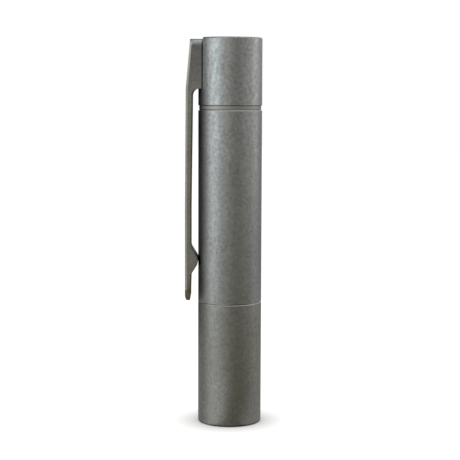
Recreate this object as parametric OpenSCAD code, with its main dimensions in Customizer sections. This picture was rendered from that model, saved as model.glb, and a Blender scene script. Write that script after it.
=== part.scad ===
// Slim titanium torch for one small round cell, switched by turning its head.
// It stands on the rim of its lens bezel. Z runs up the tube from that rim,
// and the clip lies along the -X side. All sizes are in millimetres.
// Inside sizes grow outwards from the cell, and lengths stack up from the bezel.

/* [Cell] */
// Diameter of the cell over its label
cell_d = 10.4; // [9.8:0.1:14.5]
// Length of the cell from the tip of its nub to its flat end
cell_l = 44.5; // [38:0.5:52]
// Thickness of the cell's label
label_t = 0.1; // [0.06:0.02:0.3]
// Diameter of the cell's nub
nub_d = 3.8; // [3:0.1:4.4]
// Height of the cell's nub
nub_h = 0.9; // [0.7:0.1:1.6]
// Diameter of the cell's flat end plate
plate_d = 7; // [5:0.1:8]
// Width of the plastic seal around the end plate
seal_w = 0.4; // [0.2:0.1:0.8]
// Depth of the end plate and its seal
plate_depth = 1.2; // [0.8:0.1:2]

/* [Tube] */
// Radial clearance between the cell and the bore
bore_gap = 0.15; // [0.1:0.05:0.4]
// Wall of the screwed necks, from the bore to the thread
thread_wall = 0.75; // [0.7:0.05:1.6]
// Step from the thread out to the sealing land
land_step = 0.32; // [0.2:0.02:0.8]
// Wall of the head around the sealing land, which sets the outside diameter
head_wall = 0.5; // [0.4:0.05:2]
// Radial running clearance of threads and lands
run_gap = 0.08; // [0.05:0.01:0.1]
// Radial clearance of pieces that are fitted inside each other
fit_gap = 0.04; // [0.02:0.01:0.1]
// Chamfer of the bezel rim
bezel_chamfer = 0.25; // [0.1:0.05:0.45]
// Depth of the long bevel at the head's upper edge
head_bevel = 0.08; // [0.04:0.01:0.3]
// Length of that bevel
head_bevel_l = 0.3; // [0.1:0.05:0.6]
// Depth of the bevel at the barrel's edge over the seam
shoulder_bevel = 0.05; // [0.03:0.01:0.3]
// Length of that bevel
shoulder_bevel_l = 0.15; // [0.05:0.05:0.6]
// Chamfer of the barrel's edge at the groove
barrel_chamfer = 0.12; // [0.05:0.01:0.3]
// Chamfer of the tail
tail_chamfer = 0.2; // [0.2:0.05:1.5]

/* [Joint threads] */
// Lead of the head's thread
pitch = 0.8; // [0.5:0.05:1.5]
// Turn by which the head is loosened when the torch is off
off_turn = 0.1; // [0.05:0.05:0.6]
// Room left at the contact faces when the head is tight
tight_room = 0.01; // [0.005:0.005:0.03]
// Room left at the seam when the head is tight
seam_room = 0.02; // [0.01:0.01:0.1]
// Threaded length of the barrel's neck
neck_thread_l = 4.8; // [3.5:0.1:8]
// Sealing length of the barrel's neck
neck_land_l = 3.5; // [2:0.1:5]
// Threaded length of the tail cap's stud
stud_thread_l = 3.2; // [2:0.1:6]
// Sealing length of the tail cap's stud
stud_land_l = 2.6; // [1.8:0.1:4]
// Thickness of the sealing rings
oring_t = 0.7; // [0.5:0.05:0.75]
// Room left outside the sealing rings
oring_gap = 0.05; // [0.02:0.01:0.1]
// Room left along the tube beside a sealing ring
oring_side = 0.12; // [0.05:0.01:0.3]

/* [Optics] */
// Thickness of the bezel lip
bezel_t = 0.9; // [0.6:0.1:3]
// Width of the bezel lip over the lens
bezel_lip = 0.8; // [0.5:0.05:1.5]
// Flare of the bezel opening
bezel_flare = 0.35; // [0.1:0.05:0.5]
// Thickness of the lens gasket
gasket_t = 0.4; // [0.2:0.1:1]
// Width of the lens gasket
gasket_w = 0.7; // [0.4:0.05:0.8]
// Thickness of the lens
lens_t = 1; // [0.5:0.1:2.5]
// Depth of the reflector
reflector_h = 6; // [4:0.1:9]
// Width of the reflector's front rim
reflector_rim = 0.45; // [0.3:0.05:0.8]
// Thickness of the reflector's front rim
reflector_rim_t = 0.8; // [0.5:0.1:1.5]
// Least wall of the reflector
reflector_wall = 0.45; // [0.35:0.05:0.6]
// Side of the square emitter
led_w = 3.45; // [2.4:0.05:3.6]
// Thickness of the emitter
led_t = 0.7; // [0.65:0.05:1.5]
// Radius of the emitter's dome
dome_r = 1.3; // [0.8:0.05:1.5]
// Width of the wall of the ring that centres the emitter
centring_w = 0.3; // [0.2:0.05:0.3]

/* [Light engine] */
// Thickness of the emitter's copper board
star_t = 1; // [0.8:0.1:2]
// Gap between the copper board and the head
star_gap = 0.5; // [0.2:0.05:0.6]
// Length of the heat sink
sink_l = 6.5; // [5.6:0.1:10]
// Thickness of the heat sink's floor
sink_floor = 2; // [1:0.1:2.4]
// Wall of the heat sink
sink_wall = 0.95; // [0.6:0.05:1]
// Thickness of the driver board
board_t = 1; // [0.6:0.1:1.6]
// Gap between the driver board and the head
board_gap = 0.3; // [0.1:0.05:0.5]
// Length of the brass locking ring
lock_l = 1.2; // [1.1:0.1:3]
// Wall of the brass locking ring
lock_wall = 1.15; // [0.9:0.05:1.5]
// Height of the ring that keeps a reversed cell off the contact
keep_h = 1; // [0.9:0.05:1.1]
// Wall of that ring
keep_wall = 1.5; // [0.8:0.1:1.8]
// Room around the nub inside that ring
keep_gap = 0.4; // [0.2:0.05:0.5]
// Height of the brass contact
contact_h = 0.75; // [0.5:0.05:0.85]
// Diameter of the brass contact's pin
contact_d = 2.4; // [1.5:0.1:3.2]
// Side of the square coil on the driver
coil_w = 3.8; // [2.5:0.1:4]
// Height of the coil
coil_h = 2; // [1:0.1:3]
// Length of the driver chip
chip_l = 2.9; // [2:0.1:3.2]
// Width of the driver chip
chip_w = 1.6; // [1.2:0.1:2]
// Height of the driver chip
chip_h = 1.1; // [0.6:0.1:2]
// Length of each capacitor
cap_l = 1.6; // [1:0.1:2]
// Width and height of each capacitor
cap_w = 0.8; // [0.5:0.1:1]
// Diameter of the emitter's wires over their insulation
wire_d = 0.6; // [0.4:0.05:0.65]
// Distance of the wires from the axis
wire_x = 4; // [3.8:0.05:4.1]
// Bend radius of the wires
wire_bend = 0.5; // [0.4:0.05:0.6]

/* [Tail] */
// Gap between the cell and the tail cap's stud
end_gap = 0.66; // [0.4:0.02:2]
// Length of the pressed spring
spring_l = 8.65; // [7.5:0.05:14]
// Thickness of the spring wire
spring_wire = 0.5; // [0.3:0.05:0.6]
// Wire turns of the spring
spring_turns = 4.5; // [3:0.5:5]
// Outer diameter of the spring at the cell
spring_tip_d = 4.6; // [3.6:0.1:6]
// Wall between the stud's thread and the spring well
well_wall = 1.2; // [0.9:0.05:2]
// Gap between the spring plate and the well
well_gap = 0.1; // [0.05:0.05:0.3]
// Thickness of the spring plate
spring_plate_t = 0.6; // [0.4:0.1:1.2]
// Length of the solid metal behind the spring plate
tail_solid = 12.9; // [12.5:0.1:20]
// Width of the turned groove where the tail cap meets the barrel
groove_w = 1; // [0.5:0.05:3]
// Depth of that groove
groove_depth = 0.2; // [0.1:0.02:0.4]

/* [Clip] */
// Width of the clip
clip_w = 6.6; // [4.6:0.1:8]
// Length of the clip
clip_l = 57.36; // [54:0.01:58]
// Distance from the tail face down to the clip's upper end
clip_drop = 0.34; // [0.2:0.01:1.5]
// Length of the pad that seats in the tail cap
pad_l = 10.52; // [9.8:0.01:11.2]
// Depth of the pocket for the pad
pocket_depth = 1.4; // [0.9:0.05:1.8]
// Clearance between the pad and the pocket's floor
pocket_gap = 0.05; // [0.02:0.01:0.15]
// Clearance on each side of the pad in its pocket
pocket_side = 0.1; // [0.03:0.01:0.15]
// Room under the pad's foot in the pocket
pocket_foot = 0.2; // [0.12:0.01:0.4]
// Height of the pad's upper end over the tube
pad_rise_top = 1.72; // [1.3:0.02:2.5]
// Height of the pad's foot over the tube
pad_rise_foot = 2.66; // [2.3:0.02:3.4]
// Fillet between the pad and the arm
root_r = 1.7; // [1:0.05:1.9]
// Gap between the tube and the arm at its root
gap_root = 1.21; // [1:0.01:1.4]
// Gap between the tube and the arm past its taper
gap_arm = 1.52; // [1.2:0.01:2]
// Thickness of the arm past its taper
arm_t = 1.34; // [1:0.02:1.8]
// Thickness of the arm's tip
tip_t = 1.26; // [0.8:0.02:1.7]
// Distance from the clip's upper end to the end of the arm's taper
taper_l = 36.59; // [20:0.01:42]
// Distance from the clip's upper end to the middle of the bump
bump_drop = 48.3; // [47:0.01:50]
// Gap between the bump and the barrel
bump_gap = 0.05; // [0.03:0.01:0.3]
// Flat length on the bump's crown
bump_flat = 0.66; // [0.2:0.01:2]
// Radius of the bump's crown
bump_r = 1.2; // [0.8:0.01:3.5]
// Radius of the hollows beside the bump
bump_fillet = 1.6; // [1.5:0.01:4]
// Steepest slope of the bump, in degrees
bump_slope = 31.5; // [26:0.5:38]
// Chamfer along the clip's outer edges
clip_edge = 0.45; // [0.1:0.05:0.6]
// Chamfer along the arm's inner edges
clip_inner_edge = 0.2; // [0.05:0.05:0.3]
// Corner radius of the clip's upper end
clip_top_r = 1.1; // [0.3:0.1:2]
// Corner radius of the clip's tip
clip_tip_r = 2.6; // [1:0.1:3.2]
// Depth of the long bevels at the clip's tip
clip_tip_edge = 0.25; // [0.1:0.05:0.5]
// Length of those bevels
clip_tip_run = 1.1; // [0.3:0.1:2]
// Width of the saw line where the pad and the springing arm are told apart
flex_gap = 0.02; // [0.01:0.01:0.05]

/* [Clip screws] */
// Diameter of the screws
screw_d = 2; // [1.4:0.1:2.4]
// Diameter of the screw heads
screw_head_d = 3.4; // [2.6:0.1:3.8]
// Height of the screw heads
screw_head_h = 1.1; // [0.7:0.1:1.2]
// Length of a screw under its head
screw_l = 4.6; // [3:0.1:5.5]
// Clearance around the screws
screw_gap = 0.1; // [0.05:0.05:0.2]
// Metal left under the screw heads
screw_seat = 1.7; // [1.2:0.1:1.8]
// Width of the hexagon sockets
socket_w = 1.6; // [1:0.1:1.9]
// Depth of the hexagon sockets
socket_depth = 0.6; // [0.4:0.1:0.6]
// Distance from the clip's upper end to the first screw
screw_drop = 2.9; // [2.6:0.1:3.4]
// Distance between the screws
screw_step = 4.6; // [4.2:0.1:4.8]

/* [Hidden] */
$fn = 96;

// Radii, from the cell outwards.
cell_r = cell_d / 2;
can_r = cell_r - label_t;
bore_r = cell_r + bore_gap;
thread_r = bore_r + thread_wall;
thread_bore_r = thread_r + run_gap;
land_r = thread_r + land_step;
seal_bore_r = land_r + run_gap;
body_r = seal_bore_r + head_wall;
groove_r = body_r - groove_depth;
oring_mid_r = seal_bore_r - oring_gap - oring_t / 2;
oring_floor_r = seal_bore_r - oring_gap - oring_t;
oring_slot_w = oring_t + 2 * oring_side;

// Radii of what the head holds. The step leaves a face for the neck to meet.
optic_step = 0.4;
optic_r = thread_r - optic_step;
optic_fit_r = optic_r - fit_gap;
window_r = optic_r - bezel_lip;
aperture_r = optic_fit_r - reflector_rim;
star_r = optic_r - star_gap;
board_r = optic_r - board_gap;
sink_hollow_r = optic_fit_r - sink_wall;
nub_r = nub_d / 2;
keep_in_r = nub_r + keep_gap;
keep_out_r = keep_in_r + keep_wall;

// Heights, from the bezel rim up.
gasket_z = bezel_t;
lens_z = gasket_z + gasket_t;
reflector_z = lens_z + lens_t;
led_z = reflector_z + reflector_h;
star_z = led_z + led_t;
sink_z = star_z + star_t;
sink_floor_z = sink_z + sink_floor;
board_z = sink_z + sink_l;
lock_z = board_z + board_t;
step_z = lock_z + lock_l;
contact_gap = pitch * off_turn + tight_room;
seam_gap = pitch * off_turn + seam_room;
neck_z = step_z + contact_gap;
land_z = neck_z + neck_thread_l;
shoulder_z = land_z + neck_land_l;
head_top_z = shoulder_z - seam_gap;
skirt_room = 0.1;
skirt_z = land_z - contact_gap - skirt_room;
nub_z = lock_z + contact_h;
cell_z = nub_z + nub_h;
cell_end_z = nub_z + cell_l;
stud_z = cell_end_z + end_gap;
stud_land_z = stud_z + stud_thread_l;
joint_z = stud_land_z + stud_land_l;
groove_z = joint_z + groove_w;
seat_z = cell_end_z + spring_l;
well_z = seat_z + spring_plate_t;
top_z = well_z + tail_solid;
well_r = thread_r - well_wall;

// Heights and distances of the clip. Its profile is drawn with the distance
// from the tube's axis to the right, and is turned to the -X side when used.
clip_top_z = top_z - clip_drop;
clip_tip_z = clip_top_z - clip_l;
pad_foot_z = clip_top_z - pad_l;
taper_z = clip_top_z - taper_l;
bump_z = clip_top_z - bump_drop;
flex_z = pad_foot_z - root_r;
pocket_r = body_r - pocket_depth;
root_in = body_r + gap_root;
arm_in = body_r + gap_arm;
arm_out = arm_in + arm_t;
tip_in = arm_out - tip_t;
pad_top_out = body_r + pad_rise_top;
pad_foot_out = body_r + pad_rise_foot;
pad_bend_z = pad_foot_z - 0.2;
bump_top = body_r + bump_gap;
bump_rise = arm_in - bump_top;
crown_drop = bump_r * (1 - cos(bump_slope));
hollow_drop = bump_fillet * (1 - cos(bump_slope));
bump_straight = max(0.01, (bump_rise - crown_drop - hollow_drop) / tan(bump_slope));
crown_half = bump_flat / 2 + bump_r * sin(bump_slope);
bump_half = crown_half + bump_straight + bump_fillet * sin(bump_slope);
screw_seat_r = pocket_r + screw_seat;
screw_zs = [clip_top_z - screw_drop, clip_top_z - screw_drop - screw_step];

titanium = [0.47, 0.47, 0.45];
steel = [0.7, 0.71, 0.72];
brass = [0.8, 0.66, 0.35];
black_rubber = [0.06, 0.06, 0.06];

// A body of revolution from [radius, height] points.
module turned(points) {
    rotate_extrude() polygon(points);
}

// A tube between two heights.
module ring(r_out, r_in, z0, z1) {
    turned([[r_in, z0], [r_out, z0], [r_out, z1], [r_in, z1]]);
}

// A disc between two heights.
module disc(r, z0, z1) {
    translate([0, 0, z0]) cylinder(r = r, h = z1 - z0);
}

// A sealing ring whose round section is centred at height z.
module oring(z) {
    rotate_extrude() translate([oring_mid_r, z]) circle(d = oring_t, $fn = 32);
}

// The slot for a sealing ring, cut into a land around height z.
module oring_slot(z) {
    ring(land_r + 1, oring_floor_r, z - oring_slot_w / 2, z + oring_slot_w / 2);
}

// Points of a round stretch, from angle a0 to a1 in n steps.
function arc(centre, r, a0, a1, n) =
    [for (i = [0 : n]) let (a = a0 + (a1 - a0) * i / n)
        centre + r * [cos(a), sin(a)]];

// The head: a tube closed in front by the bezel lip, with a bore for the
// optics, a wider threaded bore for the neck and a smooth skirt for its seal.
module head_shell() {
    color(titanium)
    turned([
        [window_r + bezel_flare, 0],
        [body_r - bezel_chamfer, 0],
        [body_r, bezel_chamfer],
        [body_r, head_top_z - head_bevel_l],
        [body_r - head_bevel, head_top_z],
        [seal_bore_r, head_top_z],
        [seal_bore_r, skirt_z],
        [thread_bore_r, skirt_z],
        [thread_bore_r, step_z],
        [optic_r, step_z],
        [optic_r, bezel_t],
        [window_r, bezel_t],
        [window_r, bezel_t / 2]
    ]);
}

module lens_gasket() {
    color(black_rubber)
    ring(optic_fit_r, optic_fit_r - gasket_w, gasket_z, lens_z);
}

module lens() {
    color([0.8, 0.9, 0.95, 0.35])
    disc(optic_fit_r, lens_z, reflector_z);
}

// The reflector: a paraboloid with its focus just in front of the emitter.
focus_drop = 0.3;
focus_z = led_z - focus_drop;
focal = (sqrt(pow(focus_z - reflector_z, 2) + pow(aperture_r, 2)) - (focus_z - reflector_z)) / 2;
throat_r = max(dome_r + 0.15, sqrt(4 * focal * (focal - focus_drop)));
function bowl_r(z) = max(throat_r, sqrt(4 * focal * max(0, focus_z + focal - z)));
module reflector() {
    steps = 16;
    rim_z = reflector_z + reflector_rim_t;
    neck_r = throat_r + 2 * reflector_wall;
    color([0.85, 0.86, 0.88])
    turned(concat(
        [for (i = [0 : steps]) let (z = reflector_z + reflector_h * i / steps) [bowl_r(z), z]],
        [
            [neck_r, led_z],
            [bowl_r(rim_z) + reflector_wall, rim_z],
            [optic_fit_r, rim_z],
            [optic_fit_r, reflector_z]
        ]
    ));
}

// The ring that centres the reflector on the square emitter.
module centring_ring() {
    color([0.9, 0.9, 0.88])
    difference() {
        disc(led_w * sqrt(2) / 2 + centring_w, led_z, star_z);
        translate([0, 0, led_z - 1])
            linear_extrude(led_t + 2) square(led_w + 2 * fit_gap, center = true);
    }
}

module led_package() {
    color([0.95, 0.9, 0.55])
    translate([0, 0, led_z]) linear_extrude(led_t) square(led_w, center = true);
}

// The clear dome stands out from the emitter towards the lens.
module led_dome() {
    color([0.95, 0.95, 0.8, 0.5])
    intersection() {
        translate([0, 0, led_z]) sphere(r = dome_r, $fn = 48);
        disc(dome_r + 1, led_z - dome_r - 1, led_z);
    }
}

// The round copper board, with a notch on each side for a wire.
module led_board() {
    notch_r = wire_d / 2 + 0.4;
    color([0.75, 0.45, 0.3])
    difference() {
        disc(star_r, star_z, sink_z);
        for (side = [-1, 1])
            translate([side * wire_x, 0, star_z - 1]) cylinder(r = notch_r, h = star_t + 2, $fn = 32);
    }
}

// A wire from the driver board down through the heat sink, bent in over the
// front of the copper board to its pad. side is -1 or 1.
module emitter_wire(side) {
    pad_r = led_w * sqrt(2) / 2 + centring_w + 0.1;
    run_z = star_z - wire_d / 2 - 0.05;
    bend_z = run_z + wire_bend;
    wire_r = wire_d / 2;
    mirror([side < 0 ? 1 : 0, 0, 0]) {
        translate([wire_x, 0, bend_z]) cylinder(r = wire_r, h = board_z - bend_z, $fn = 24);
        translate([wire_x - wire_bend, 0, bend_z])
            rotate([90, 0, 0])
            rotate([0, 0, -90])
            rotate_extrude(angle = 90)
            translate([wire_bend, 0]) circle(r = wire_r, $fn = 24);
        translate([pad_r, 0, run_z])
            rotate([0, 90, 0]) cylinder(r = wire_r, h = wire_x - wire_bend - pad_r, $fn = 24);
    }
}

module wire_red() {
    color([0.75, 0.1, 0.08]) emitter_wire(1);
}

module wire_black() {
    color([0.08, 0.08, 0.08]) emitter_wire(-1);
}

// The brass heat sink: a cup that carries the emitter on its floor and the
// driver board on its rim.
module heat_sink() {
    hole_r = wire_d / 2 + 0.15;
    color(brass)
    difference() {
        disc(optic_fit_r, sink_z, board_z);
        disc(sink_hollow_r, sink_floor_z, board_z + 1);
        for (side = [-1, 1])
            translate([side * wire_x, 0, sink_z - 1]) cylinder(r = hole_r, h = sink_floor + 2, $fn = 32);
    }
}

module driver_board() {
    color([0.1, 0.35, 0.2])
    disc(board_r, board_z, lock_z);
}

// The coil on the hollow side of the driver board, with its corners cut.
coil_y = coil_w / 2 - 0.3;
module driver_coil() {
    cut = coil_w / 5;
    half = coil_w / 2;
    color([0.25, 0.25, 0.26])
    translate([0, coil_y, board_z - coil_h])
        linear_extrude(coil_h)
        polygon([
            [half - cut, -half], [half, cut - half], [half, half - cut], [half - cut, half],
            [cut - half, half], [-half, half - cut], [-half, cut - half], [cut - half, -half]
        ]);
}

// The driver chip and two capacitors beside it.
module driver_parts() {
    chip_y = coil_y - coil_w / 2 - 0.8 - chip_w / 2;
    cap_x = chip_l / 2 + 0.55 + cap_w / 2;
    color([0.12, 0.12, 0.13])
    translate([-chip_l / 2, chip_y - chip_w / 2, board_z - chip_h]) cube([chip_l, chip_w, chip_h]);
    color([0.7, 0.6, 0.45])
    for (side = [-1, 1])
        translate([side * cap_x - cap_w / 2, chip_y - chip_w / 2, board_z - cap_w])
            cube([cap_w, cap_l, cap_w]);
}

// The brass contact: a foot soldered to the board and a pin for the nub.
module contact_pin() {
    foot_t = 0.25;
    foot_r = contact_d / 2 + 0.5;
    pin_r = contact_d / 2;
    color(brass)
    turned([[0, lock_z], [foot_r, lock_z], [foot_r, lock_z + foot_t],
        [pin_r, lock_z + foot_t], [pin_r, nub_z], [0, nub_z]]);
}

module polarity_ring() {
    color([0.85, 0.85, 0.8])
    ring(keep_out_r, keep_in_r, lock_z, lock_z + keep_h);
}

// The brass ring that clamps the driver board, with two slots for a key.
module lock_ring() {
    slot_w = 1;
    slot_depth = 0.5;
    color(brass)
    difference() {
        ring(optic_fit_r, optic_fit_r - lock_wall, lock_z, step_z);
        translate([-body_r, -slot_w / 2, step_z - slot_depth])
            cube([2 * body_r, slot_w, slot_depth + 1]);
    }
}

// The cell's steel can: its nub faces the head, and the far end is hollow
// for the plastic seal and the end plate.
module cell_can() {
    rim_drop = 0.2;
    nub_edge = 0.2;
    shoulder_edge = 0.3;
    hollow_r = plate_d / 2 + seal_w + 2 * fit_gap;
    floor_z = cell_end_z - plate_depth;
    color(steel)
    turned([
        [0, nub_z],
        [nub_r - nub_edge, nub_z],
        [nub_r, nub_z + nub_edge],
        [nub_r, cell_z],
        [can_r - shoulder_edge, cell_z],
        [can_r, cell_z + shoulder_edge],
        [can_r, cell_end_z - rim_drop - shoulder_edge],
        [can_r - shoulder_edge, cell_end_z - rim_drop],
        [hollow_r, cell_end_z - rim_drop],
        [hollow_r, floor_z],
        [0, floor_z]
    ]);
}

module cell_label() {
    end_room = 0.5;
    color([0.2, 0.32, 0.42])
    ring(cell_r, can_r + 0.01, cell_z + end_room, cell_end_z - end_room);
}

module cell_seal() {
    color([0.15, 0.15, 0.2])
    ring(plate_d / 2 + fit_gap + seal_w, plate_d / 2 + fit_gap,
        cell_end_z - plate_depth, cell_end_z - 0.15);
}

module cell_plate() {
    color(steel)
    disc(plate_d / 2, cell_end_z - plate_depth, cell_end_z);
}

// The barrel: the grip between the seam and the turned groove, with a screwed
// neck for the head below and a screwed socket for the tail cap above.
module barrel() {
    socket_room = 0.1;
    socket_z = stud_z - socket_room;
    mouth_z = stud_land_z - socket_room;
    neck_chamfer = 0.25;
    color(titanium)
    difference() {
        turned([
            [bore_r, neck_z],
            [thread_r - neck_chamfer, neck_z],
            [thread_r, neck_z + neck_chamfer],
            [thread_r, land_z],
            [land_r, land_z],
            [land_r, shoulder_z],
            [body_r - shoulder_bevel, shoulder_z],
            [body_r, shoulder_z + shoulder_bevel_l],
            [body_r, joint_z - barrel_chamfer],
            [body_r - barrel_chamfer, joint_z],
            [seal_bore_r, joint_z],
            [seal_bore_r, mouth_z],
            [thread_bore_r, mouth_z],
            [thread_bore_r, socket_z],
            [bore_r, socket_z]
        ]);
        oring_slot(land_z + neck_land_l / 2);
    }
}

module head_oring() {
    color(black_rubber) oring(land_z + neck_land_l / 2);
}

module tail_oring() {
    color(black_rubber) oring(stud_land_z + stud_land_l / 2);
}

// The tail spring: one wire that climbs from the plate to the cell while it
// winds inwards. It starts and ends level, so that it sits flat at both ends.
spring_base_r = well_r - well_gap - spring_wire / 2;
spring_tip_r = spring_tip_d / 2 - spring_wire / 2;
spring_end_room = 0.02;
spring_z0 = seat_z - spring_wire / 2 - spring_end_room;
spring_z1 = cell_end_z + spring_wire / 2 + spring_end_room;
curl_rings = 8;
wire_sides = 6;
spring_rings = curl_rings * spring_turns;
level = 0.08;
function ease(t) = t < level ? t * t / (2 * level) : t > 1 - level
    ? 1 - level - (1 - t) * (1 - t) / (2 * level) : t - level / 2;
function spring_point(i) =
    let (t = i / spring_rings, a = 360 * i / curl_rings,
        r = spring_base_r + (spring_tip_r - spring_base_r) * t,
        z = spring_z0 + (spring_z1 - spring_z0) * ease(t) / (1 - level))
    [r * cos(a), r * sin(a), z];
spring_path = [for (i = [0 : spring_rings]) spring_point(i)];
spring_self = min([for (i = [0 : spring_rings]) for (j = [i + curl_rings / 2 : 1 : spring_rings])
    norm(spring_path[i] - spring_path[j])]) - spring_wire;
echo(least_gap_of_spring = spring_self);
function unit(v) = v / norm(v);
module tail_spring() {
    last = len(spring_path) - 1;
    function along(i) = unit(spring_path[min(i + 1, last)] - spring_path[max(i - 1, 0)]);
    function outward(i) = let (p = spring_path[i], t = along(i), d = [p.x, p.y, 0]) unit(d - (d * t) * t);
    points = [for (i = [0 : last]) for (s = [0 : wire_sides - 1])
        let (a = 360 * s / wire_sides, n = outward(i), b = cross(along(i), n))
        spring_path[i] + spring_wire / 2 * (cos(a) * n + sin(a) * b)];
    function id(i, s) = i * wire_sides + s % wire_sides;
    walls = [for (i = [0 : last - 1]) for (s = [0 : wire_sides - 1])
        each [[id(i, s), id(i + 1, s), id(i, s + 1)], [id(i, s + 1), id(i + 1, s), id(i + 1, s + 1)]]];
    first_end = [for (s = [1 : wire_sides - 2]) [id(0, 0), id(0, s), id(0, s + 1)]];
    last_end = [for (s = [1 : wire_sides - 2]) [id(last, 0), id(last, s + 1), id(last, s)]];
    color(steel) polyhedron(points, concat(walls, first_end, last_end), convexity = 8);
}

module spring_plate() {
    color(brass)
    disc(well_r - well_gap, seat_z, well_z);
}

// The tail cap: a screwed stud with the spring well, the turned groove, and
// a solid end with a pocket and two tapped holes for the clip.
module tail_cap() {
    groove_chamfer = 0.12;
    joint_bevel = 0.15;
    stud_chamfer = 0.25;
    joint_room = 0.02;
    pocket_half = clip_w / 2 + pocket_side;
    hole_room = 0.3;
    hole_end_r = screw_seat_r - screw_l - hole_room;
    color(titanium)
    difference() {
        turned([
            [well_r, stud_z],
            [thread_r - stud_chamfer, stud_z],
            [thread_r, stud_z + stud_chamfer],
            [thread_r, stud_land_z],
            [land_r, stud_land_z],
            [land_r, joint_z + joint_room],
            [groove_r - joint_bevel, joint_z + joint_room],
            [groove_r, joint_z + joint_room + joint_bevel],
            [groove_r, groove_z],
            [body_r - groove_chamfer, groove_z],
            [body_r, groove_z + groove_chamfer],
            [body_r, top_z - tail_chamfer],
            [body_r - tail_chamfer, top_z],
            [0, top_z],
            [0, well_z],
            [well_r, well_z]
        ]);
        oring_slot(stud_land_z + stud_land_l / 2);
        translate([-body_r - 1, -pocket_half, pad_foot_z - pocket_foot])
            cube([1 + pocket_depth, 2 * pocket_half, clip_l]);
        for (z = screw_zs)
            translate([-body_r, 0, z]) rotate([0, 90, 0])
                cylinder(d = screw_d + screw_gap, h = body_r - hole_end_r, $fn = 48);
    }
}

// The clip's profile, seen from the side: the pad, the fillet at the arm's
// root, the tapering arm and the bump that presses on the barrel.
clip_profile = concat(
    [[pad_top_out, clip_top_z], [pad_foot_out, pad_bend_z], [arm_out, taper_z],
        [arm_out, clip_tip_z + clip_tip_run], [arm_out - clip_tip_edge, clip_tip_z],
        [tip_in + clip_tip_edge, clip_tip_z], [tip_in, clip_tip_z + clip_tip_run]],
    arc([arm_in - bump_fillet, bump_z - bump_half], bump_fillet, 0, bump_slope, 6),
    arc([bump_top + bump_r, bump_z - bump_flat / 2], bump_r, 180 + bump_slope, 180, 6),
    arc([bump_top + bump_r, bump_z + bump_flat / 2], bump_r, 180, 180 - bump_slope, 6),
    arc([arm_in - bump_fillet, bump_z + bump_half], bump_fillet, -bump_slope, 0, 6),
    [[arm_in, taper_z]],
    arc([root_in - root_r, pad_foot_z - root_r], root_r, 0, 90, 12),
    [[pocket_r + pocket_gap, pad_foot_z], [pocket_r + pocket_gap, clip_top_z]]
);

// The clip's outline, seen square on: two small corners above, and a tip
// that is nearly a half circle.
clip_outline = concat(
    arc([clip_w / 2 - clip_top_r, clip_top_z - clip_top_r], clip_top_r, 0, 90, 6),
    arc([clip_top_r - clip_w / 2, clip_top_z - clip_top_r], clip_top_r, 90, 180, 6),
    arc([clip_tip_r - clip_w / 2, clip_tip_z + clip_tip_r], clip_tip_r, 180, 270, 12),
    arc([clip_w / 2 - clip_tip_r, clip_tip_z + clip_tip_r], clip_tip_r, 270, 360, 12)
);

// Cuts the two long edges of the straight stretch from p to q, which are
// [distance, height] points on a face of the clip. turn is the way the edge
// points: 135 degrees on the outer face and 45 on the inner one.
module edge_cut(p, q, size, turn) {
    slope = atan2(p.x - q.x, p.y - q.y);
    over = 0.6;
    bulk = 4 * size;
    for (side = [-1, 1])
        translate([-q.x, side * clip_w / 2, q.y])
            rotate([0, -slope, 0])
            rotate([0, 0, side * turn])
            translate([-size / sqrt(2), -bulk / 2, -over])
            cube([bulk, bulk, norm(p - q) + 2 * over]);
}

// The whole clip, milled from one bar.
module clip_blank() {
    difference() {
        intersection() {
            rotate([90, 0, 0])
                linear_extrude(clip_w, center = true)
                polygon([for (p = clip_profile) [-p.x, p.y]]);
            rotate([90, 0, 90])
                translate([0, 0, -arm_out - 1])
                linear_extrude(arm_out + 1)
                polygon(clip_outline);
        }
        edge_cut([pad_top_out, clip_top_z], [pad_foot_out, pad_bend_z], clip_edge, 135);
        edge_cut([pad_foot_out, pad_bend_z], [arm_out, taper_z], clip_edge, 135);
        edge_cut([arm_out, taper_z], [arm_out, clip_tip_z], clip_edge, 135);
        edge_cut([root_in, flex_z], [arm_in, taper_z], clip_inner_edge, 45);
    }
}

// The clip's pad, which two screws hold in the tail cap's pocket.
module clip_base() {
    color(titanium)
    difference() {
        clip_blank();
        translate([-arm_out - 1, -clip_w, clip_tip_z - 1])
            cube([arm_out + 1, 2 * clip_w, flex_z - clip_tip_z + 1]);
        for (z = screw_zs) translate([0, 0, z]) rotate([0, -90, 0]) {
            cylinder(d = screw_d + 2 * screw_gap, h = arm_out, $fn = 48);
            translate([0, 0, screw_seat_r])
                cylinder(d = screw_head_d + 2 * screw_gap, h = body_r, $fn = 48);
        }
    }
}

// The clip's springing arm, down to the tip.
module clip_arm() {
    color(titanium)
    intersection() {
        clip_blank();
        translate([-arm_out - 1, -clip_w, clip_tip_z - 1])
            cube([arm_out + 1, 2 * clip_w, flex_z - flex_gap - clip_tip_z + 1]);
    }
}

module clip_screws() {
    tip_chamfer = 0.25;
    head_round = 0.2;
    head_top = screw_seat_r + screw_head_h;
    color(steel)
    for (z = screw_zs) translate([0, 0, z]) rotate([0, -90, 0])
        difference() {
            turned([
                [0, screw_seat_r - screw_l],
                [screw_d / 2 - tip_chamfer, screw_seat_r - screw_l],
                [screw_d / 2, screw_seat_r - screw_l + tip_chamfer],
                [screw_d / 2, screw_seat_r],
                [screw_head_d / 2, screw_seat_r],
                [screw_head_d / 2, head_top - head_round],
                [screw_head_d / 2 - head_round, head_top],
                [0, head_top]
            ]);
            translate([0, 0, head_top - socket_depth])
                cylinder(d = socket_w / cos(30), h = socket_depth + 1, $fn = 6);
        }
}

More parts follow.
